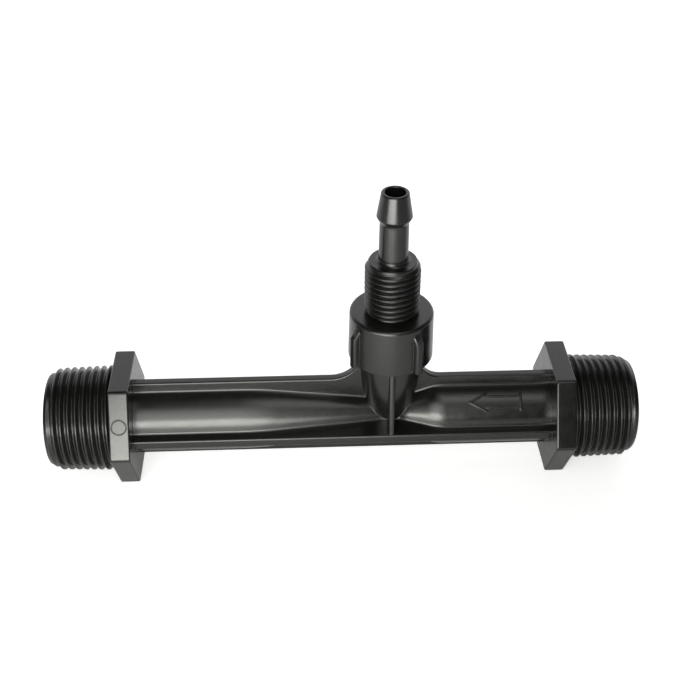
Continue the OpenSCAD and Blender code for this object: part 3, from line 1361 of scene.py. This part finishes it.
@dataclass
class CheckValve:
    """Seal ring, check ball and spring inside the cap, in millimetres above the tube's axis."""

    foot_z: float = 22.37
    top_z: float = 32.116
    coil_r: float = 2.7
    wire_r: float = 0.3
    wire_sides: int = 14
    open_turns: int = 5
    travel: float = 2.0
    steps: int = 40

    def spring(self) -> BMesh:
        """Winds the spring with a closed turn at each end.

        Returns:
            The spring as a closed wire.
        """
        wire = 2 * self.wire_r
        rise = (self.top_z - self.foot_z - 2 * wire) / self.open_turns
        bm = bmesh.new()
        bmesh.ops.create_circle(bm, cap_ends=False, segments=self.wire_sides, radius=self.wire_r)
        stand = Matrix.Translation((self.coil_r, 0.0, self.foot_z)) @ Matrix.Rotation(math.pi / 2, 4, "X")
        placed(bm, stand)
        last = [*bm.verts, *bm.edges]
        for pitch, turns in ((wire, 1), (rise, self.open_turns), (wire, 1)):
            last = spun(bm, last, self.steps, pitch, turns)
        return tidy(capped(bm))

    def build(
        self, nodes: dict[str, Object], rubber: SealRubber, ball: MouldedPlastic, steel: DrawnSteel
    ) -> None:
        """Winds the spring and dresses the ball and the seal ring.

        Args:
            nodes: CAD nodes by name.
            rubber: Finish of the seal ring.
            ball: Finish of the ball.
            steel: Finish of the spring.
        """
        piece = finished(self.spring(), "valve_spring", Body.INJECTOR, steel.material())
        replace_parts(piece, "check_spring")
        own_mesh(piece)
        for name, finish in (("seal_ring", rubber), ("check_ball", ball)):
            node = nodes[name]
            node.data.materials.clear()
            node.data.materials.append(finish.material())
            LOG.info("%s: dressed", name)


@dataclass(frozen=True)
class Lamp:
    """Soft box of the studio, in metres and watts, with the share of it that is bright all over."""

    name: str
    place: Place
    aim: Place
    width: float
    height: float
    watts: float
    colour: Colour
    core: float = 0.0

    def build(self) -> Object:
        """Hangs the soft box, bright in its middle and faded at its rim.

        Returns:
            The lamp's object.
        """
        data = bpy.data.lights.new(self.name, "AREA")
        data.shape = "ELLIPSE"
        data.size = self.width
        data.size_y = self.height
        data.energy = self.watts
        data.color = self.colour
        self._fade(data)
        lamp = bpy.data.objects.new(self.name, data)
        towards = Vector(self.aim) - Vector(self.place)
        turn = towards.to_track_quat("-Z", "Y").to_matrix().to_4x4()
        lamp.matrix_world = Matrix.Translation(self.place) @ turn
        lamp.visible_camera = False
        bpy.context.scene.collection.objects.link(lamp)
        return lamp

    def _fade(self, data: AreaLight) -> None:
        """Fades the box's light from its middle to its rim.

        Args:
            data: Light of the soft box.
        """
        data.use_nodes = True
        bench = NodeBench(data.node_tree)
        offset = bench.add("VectorMath")
        offset.operation = "DISTANCE"
        offset.inputs[1].default_value = BOX_MIDDLE
        bench.link(bench.add("NewGeometry").outputs["Parametric"], offset.inputs[0])
        fade = bench.ramp(offset.outputs["Value"], (BOX_RIM * self.core, BOX_RIM), (1.0, 0.0))
        bench.link(fade, data.node_tree.nodes["Emission"].inputs["Strength"])


@dataclass(frozen=True)
class Viewpoint:
    """Camera at the photograph's angle, in metres and degrees, with its frame in pixels."""

    target: Place = (0.00182, 0.0, 0.03353)
    distance: float = 0.26652
    elevation: float = 36.81
    azimuth: float = -2.71
    roll: float = 0.28
    focal_length: float = 1109.1
    frame_width: float = 700.0
    sensor: float = 36.0
    nearest: float = 0.01

    def build(self) -> Object:
        """Sets the camera up.

        Returns:
            The camera's object.
        """
        rise = math.radians(self.elevation)
        swing = math.radians(self.azimuth)
        lean = math.radians(self.roll)
        back = Vector((math.sin(swing) * math.cos(rise), -math.cos(swing) * math.cos(rise), math.sin(rise)))
        right = Vector((math.cos(swing), math.sin(swing), 0.0))
        up = back.cross(right)
        across = right * math.cos(lean) + up * math.sin(lean)
        upward = up * math.cos(lean) - right * math.sin(lean)
        turn = Matrix((across, upward, back)).transposed().to_4x4()
        data = bpy.data.cameras.new("camera")
        data.sensor_width = self.sensor
        data.lens = self.focal_length / self.frame_width * self.sensor
        data.clip_start = self.nearest
        camera = bpy.data.objects.new("camera", data)
        camera.matrix_world = Matrix.Translation(Vector(self.target) + back * self.distance) @ turn
        bpy.context.scene.collection.objects.link(camera)
        bpy.context.scene.camera = camera
        return camera


@dataclass
class Studio:
    """White table, plain surroundings, soft boxes and camera, in metres."""

    # Table and its glow: near the part and far off, and in front and behind for what mirrors it
    floor_half: float = 3.0
    floor_drop: float = 0.00003
    floor_colour: Colour = (0.8, 0.8, 0.8)
    floor_rough: float = 0.6
    shadow_middle: float = -0.012
    shadow_half: Point = (0.1, 0.04)
    near_range: Point = (0.6, 1.5)
    near_glow: float = 0.62
    far_glow: float = 1.0
    mirror_range: Point = (0.0, 0.04)
    front_glow: float = 0.067
    back_glow: float = 0.53

    # Surroundings: a dim room and a white backdrop, which starts behind the part and fades overhead
    room: float = 0.04
    backdrop: float = 0.93
    behind_range: Point = (0.2, 0.8)
    overhead_range: Point = (0.55, 0.9)

    def floor(self) -> Object:
        """Lays the white table, which keeps the shadow.

        Returns:
            The table's object.
        """
        bm = bmesh.new()
        bmesh.ops.create_grid(bm, x_segments=2, y_segments=2, size=self.floor_half)
        table = bench_object(bm, "table")
        table.location.z = -self.floor_drop
        bpy.context.scene.collection.objects.link(table)
        material, bench, shader = fresh_material("white_table")
        bench.dial(shader, {"Base Color": (*self.floor_colour, 1.0), "Roughness": self.floor_rough})
        bench.dial(shader, {"Emission Color": WHITE})
        bench.link(self._glow(bench), shader.inputs["Emission Strength"])
        table.data.materials.append(material)
        return table

    def _glow(self, bench: NodeBench) -> NodeSocket:
        """Sets the table's glow for what the camera sees and for what mirrors and clear pieces show of it.

        Args:
            bench: Nodes of the table's material.

        Returns:
            The socket of the glow's strength.
        """
        place = bench.add("TexCoord").outputs["Object"]
        spread = bench.add("Mapping")
        spread.vector_type = "TEXTURE"
        bench.dial(spread, {"Location": (0.0, self.shadow_middle, 0.0), "Scale": (*self.shadow_half, 1.0)})
        bench.link(place, spread.inputs["Vector"])
        reach = bench.add("VectorMath")
        reach.operation = "LENGTH"
        bench.link(spread.outputs["Vector"], reach.inputs[0])
        split = bench.add("SeparateXYZ")
        bench.link(place, split.inputs["Vector"])
        seen = bench.ramp(reach.outputs["Value"], self.near_range, (self.near_glow, self.far_glow))
        mirrored = bench.ramp(split.outputs["Y"], self.mirror_range, (self.front_glow, self.back_glow))
        ray = bench.add("LightPath").outputs
        shown = bench.reckon(Reckoning.LARGER, ray["Is Glossy Ray"], ray["Is Transmission Ray"])
        camera_part = bench.reckon(Reckoning.TIMES, ray["Is Camera Ray"], seen)
        mirror_part = bench.reckon(Reckoning.TIMES, shown, mirrored)
        return bench.reckon(Reckoning.PLUS, camera_part, mirror_part)

    def surroundings(self) -> None:
        """Fills the world with a white backdrop behind the part and a dim room in front of it."""
        world = bpy.data.worlds.new("surroundings")
        world.use_nodes = True
        bpy.context.scene.world = world
        bench = NodeBench(world.node_tree)
        split = bench.add("SeparateXYZ")
        bench.link(bench.add("TexCoord").outputs["Generated"], split.inputs["Vector"])
        behind = bench.ramp(split.outputs["Y"], self.behind_range, (0.0, 1.0))
        low = bench.ramp(split.outputs["Z"], self.overhead_range, (1.0, 0.0))
        wall = bench.reckon(Reckoning.TIMES, behind, low)
        level = bench.add("Mix")
        bench.link(bench.add("LightPath").outputs["Is Camera Ray"], level.inputs["Factor"])
        bench.link(bench.ramp(wall, (0.0, 1.0), (self.room, self.backdrop)), level.inputs["A"])
        bench.dial(level, {"B": 1.0})
        background = world.node_tree.nodes["Background"]
        bench.dial(background, {"Color": WHITE})
        bench.link(level.outputs["Result"], background.inputs["Strength"])

    def lamps(self) -> list[Lamp]:
        """Chooses the soft boxes.

        Returns:
            Two low boxes and a dim wall at the front left, and a broad box overhead.
        """
        return [
            Lamp(
                "front_left_box", place=(-0.04, -0.16, 0.046), aim=(-0.03, 0.0, -0.02),
                width=0.19, height=0.1, watts=0.36, colour=(1.0, 1.0, 0.94), core=0.4,
            ),
            Lamp(
                "far_left_box", place=(-0.12, -0.15, 0.045), aim=(0.017, 0.0, 0.017),
                width=0.1, height=0.08, watts=0.12, colour=(1.0, 1.0, 0.94), core=0.3,
            ),
            Lamp(
                "front_left_wall", place=(-0.06, -0.24, 0.18), aim=(-0.02, 0.0, 0.03),
                width=0.36, height=0.46, watts=1.27, colour=(1.0, 1.0, 0.96),
            ),
            Lamp(
                "overhead_box", place=(0.08, -0.15, 0.5), aim=(0.0, 0.0, 0.03),
                width=0.4, height=0.5, watts=0.8, colour=(1.0, 1.0, 0.97),
            ),
        ]

    def build(self) -> None:
        """Sets the whole studio up."""
        self.floor()
        self.surroundings()
        for lamp in self.lamps():
            lamp.build()
            LOG.info("%s: hung", lamp.name)
        Viewpoint().build()
        bpy.context.scene.view_settings.view_transform = "Standard"


def black_plastic(name: str) -> MouldedPlastic:
    """Chooses the finish of both mouldings.

    Args:
        name: Name of the material.

    Returns:
        The semi-gloss moulded black.
    """
    return MouldedPlastic(
        name, dark=(0.0068, 0.0068, 0.0066), light=(0.0112, 0.0112, 0.0108), smooth=0.19, rough=0.27
    )


def white_plastic(name: str) -> MouldedPlastic:
    """Chooses the finish of the check ball.

    Args:
        name: Name of the material.

    Returns:
        The polished white.
    """
    return MouldedPlastic(
        name, dark=(0.78, 0.78, 0.73), light=(0.86, 0.86, 0.82), smooth=0.16, rough=0.24, edge=0.05
    )


def main() -> None:
    """Builds and dresses the injector in order and sets the studio up round it."""
    logging.basicConfig(level=logging.INFO, format="%(message)s")
    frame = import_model()
    InjectorBody().build(black_plastic("body_black"))
    SuctionCap().build(black_plastic("cap_black"))
    CheckValve().build(
        frame["nodes"], SealRubber("seal_black"), white_plastic("ball_white"), DrawnSteel("spring_wire")
    )
    Studio().build()


if __name__ == "__main__":
    main()
